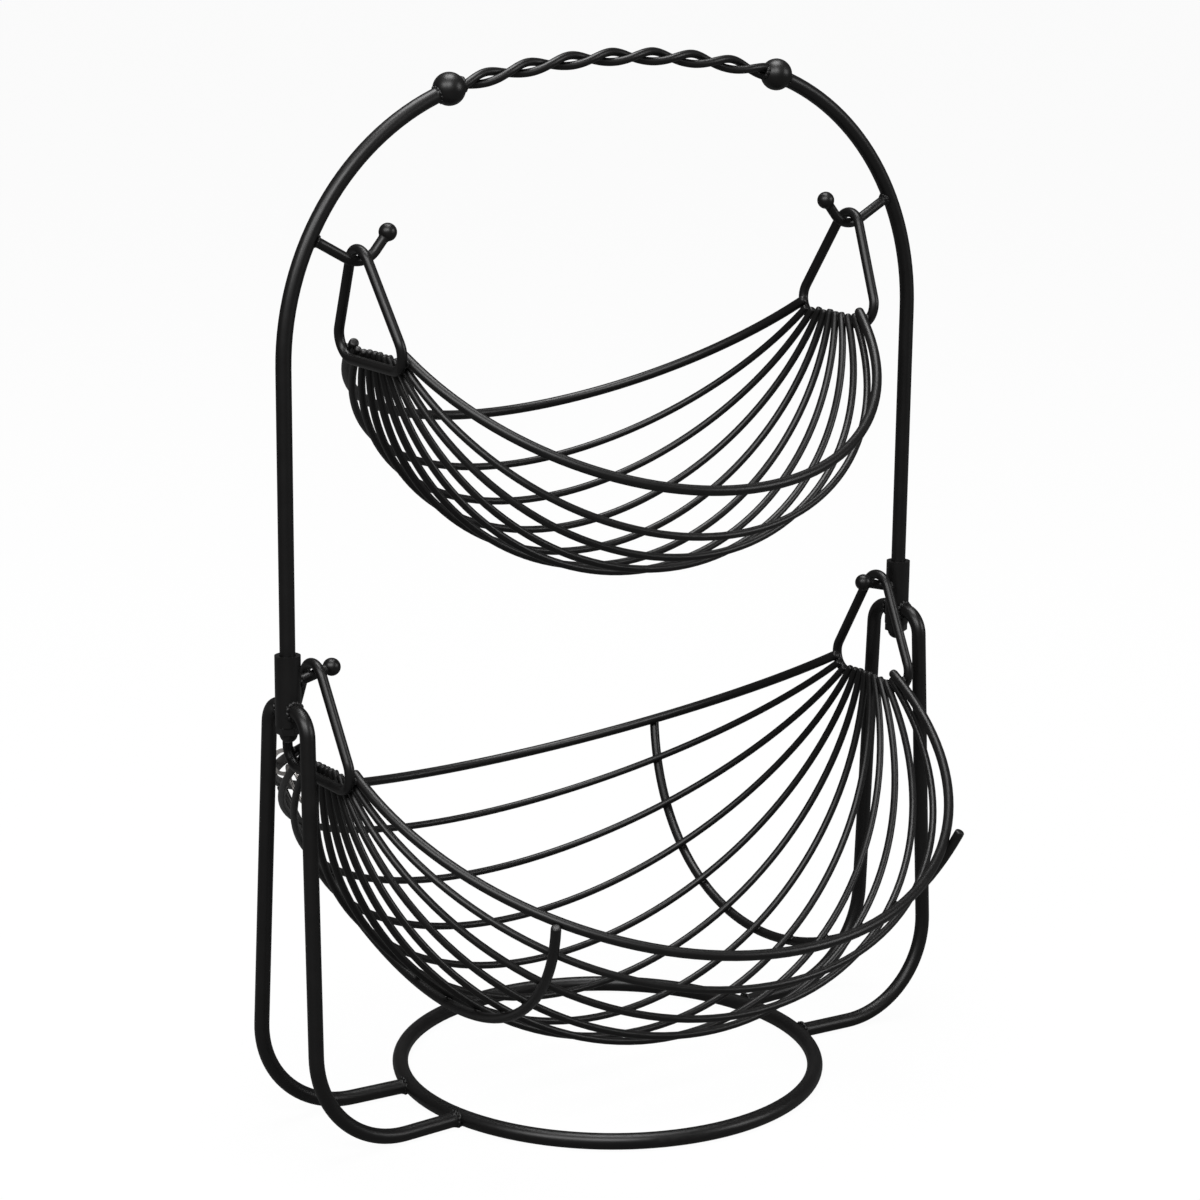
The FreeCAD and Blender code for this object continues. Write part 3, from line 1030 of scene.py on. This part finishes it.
    def weld_beads(self, welds: WeldMesh) -> None:
        """Adds the welds where the arch and the twisted strands meet their beads.

        Args:
            welds: The mesh that takes them.
        """
        slope = math.radians(self.arch_slope)
        lean = 2 * math.atan(self.handle_rise / self.bead_offset)
        out = Vector((math.cos(slope), 0.0, -math.sin(slope)))
        inward = Vector((-math.cos(lean), 0.0, math.sin(lean)))
        reach = self.bead_size / 2 * self.bead_contact_share
        for side in Side:
            centre = flipped(self.bead_centre(), side)
            arch, strands = flipped(out, side), flipped(inward, side)
            welds.collar(centre + arch * reach, arch, self.frame_wire, self.bead_fillet)
            welds.seam(centre + arch * reach, arch, self.frame_wire, self.bead_seam)
            foot = centre + strands * (self.bead_size / 2 * self.strand_contact_share)
            welds.seam(foot, strands, self.strand_pair_width, self.strand_seam)

    def dress(self, material: bpy.types.Material) -> None:
        """Builds the stand's welds.

        Args:
            material: Their finish.
        """
        welds = WeldMesh("stand_welds", Body.STAND)
        self.weld_legs(welds)
        self.weld_hooks(welds)
        self.weld_beads(welds)
        welds.finish(material)


@dataclass(frozen=True)
class Lamp:
    """A soft square lamp that faces the object."""

    name: str
    place: Vector
    size: float
    power: float

    def build(self, aim: Vector) -> None:
        """Adds the lamp.

        Args:
            aim: The point that it faces.
        """
        data = bpy.data.lights.new(self.name, "AREA")
        data.shape = "SQUARE"
        data.size = self.size
        data.energy = self.power
        lamp = bpy.data.objects.new(self.name, data)
        turn = (aim - self.place).to_track_quat("-Z", "Y").to_matrix().to_4x4()
        lamp.matrix_world = Matrix.Translation(self.place) @ turn
        bpy.context.scene.collection.objects.link(lamp)


@dataclass
class Studio:
    """White paper, soft lamps and the camera of the photograph."""

    camera_place: Vector = field(default_factory=lambda: Vector((-0.7019, -1.0122, 0.5029)))
    target: Vector = field(default_factory=lambda: Vector((-0.0042, 0.0029, 0.1999)))
    roll: float = 0.58
    lens_share: float = 2.6217
    sensor: float = 36.0
    far_clip: float = 100.0
    world_light: float = 0.03
    world_gloss_share: float = 0.07
    world_white: float = 0.98
    floor_reach: float = 40.0
    floor_segments: int = 8
    floor_drop: float = 0.0002
    lamp_aim: Vector = field(default_factory=lambda: Vector((0.0, 0.0, 0.2)))
    lamps: Sequence[Lamp] = (
        Lamp("key", Vector((-1.9, -0.7, 1.6)), size=0.9, power=26.0),
        Lamp("front", Vector((-0.96, -1.39, 1.61)), size=0.9, power=28.0),
        Lamp("fill", Vector((1.6, -1.7, 1.1)), size=0.9, power=16.0),
        Lamp("top", Vector((0.1, 0.2, 2.3)), size=1.2, power=46.0),
    )

    def camera(self) -> None:
        """Places the camera and makes it the scene's own."""
        ahead = (self.target - self.camera_place).normalized()
        right = ahead.cross(Vector((0.0, 0.0, 1.0))).normalized()
        up = right.cross(ahead)
        turn = math.radians(self.roll)
        rolled_right = right * math.cos(turn) + up * math.sin(turn)
        rolled_up = up * math.cos(turn) - right * math.sin(turn)
        data = bpy.data.cameras.new("photo_camera")
        data.sensor_width = self.sensor
        data.lens = self.lens_share * self.sensor
        data.clip_end = self.far_clip
        camera = bpy.data.objects.new("photo_camera", data)
        basis = Matrix((rolled_right, rolled_up, -ahead)).transposed().to_4x4()
        camera.matrix_world = Matrix.Translation(self.camera_place) @ basis
        bpy.context.scene.collection.objects.link(camera)
        bpy.context.scene.camera = camera

    def floor(self, material: bpy.types.Material) -> None:
        """Lays the paper on the floor.

        Args:
            material: The paper.
        """
        mesh = bpy.data.meshes.new("floor")
        shape = bmesh.new()
        count = self.floor_segments
        bmesh.ops.create_grid(shape, x_segments=count, y_segments=count, size=self.floor_reach)
        shape.to_mesh(mesh)
        shape.free()
        mesh.materials.append(material)
        floor = bpy.data.objects.new("floor", mesh)
        floor.location.z = -self.floor_drop
        bpy.context.scene.collection.objects.link(floor)

    def world(self) -> None:
        """Sets a white surround that lights the object evenly."""
        world = bpy.data.worlds.new("white_surround")
        world.use_nodes = True
        graph = Graph(world.node_tree)
        seen = graph.white_rays(self.world_gloss_share)
        strength = self.world_light + (self.world_white - self.world_light) * seen
        light = {"Color": WHITE, "Strength": strength}
        surround = graph.node("ShaderNodeBackground", None, light)
        graph.node("ShaderNodeOutputWorld", None, {"Surface": surround})
        bpy.context.scene.world = world

    def build(self) -> None:
        """Sets up camera, lamps, paper and surround."""
        self.camera()
        for lamp in self.lamps:
            lamp.build(self.lamp_aim)
        self.floor(StudioPaper().make())
        self.world()
        bpy.context.scene.view_settings.view_transform = "Standard"


def coat_nodes(frame: dict, finishes: dict[Slot, bpy.types.Material]) -> None:
    """Gives every solid the material of its slot.

    Args:
        frame: The loaded frame.
        finishes: The material of each slot.
    """
    slots = {entry["node"]: Slot(entry["material_slot"]) for entry in frame["record"]["subparts"]}
    for name, node in frame["nodes"].items():
        material = finishes[slots[name]]
        if not node.data.materials:
            node.data.materials.append(material)
        for number in range(len(node.data.materials)):
            node.data.materials[number] = material
        LOG.info("%s: %s", name, material.name)


def main() -> None:
    """Loads the frame, dresses it, and sets up the studio."""
    logging.basicConfig(level=logging.INFO, format="%(name)s: %(message)s")
    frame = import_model()
    finishes = {Slot.COAT: PowderCoat().make(), Slot.STEEL: BrightSteel().make()}
    coat_nodes(frame, finishes)
    weld_coat = WeldCoat().make()
    Stand().dress(weld_coat)
    UpperBasket().dress(weld_coat)
    LowerBasket().dress(weld_coat)
    Studio().build()


if __name__ == "__main__":
    main()
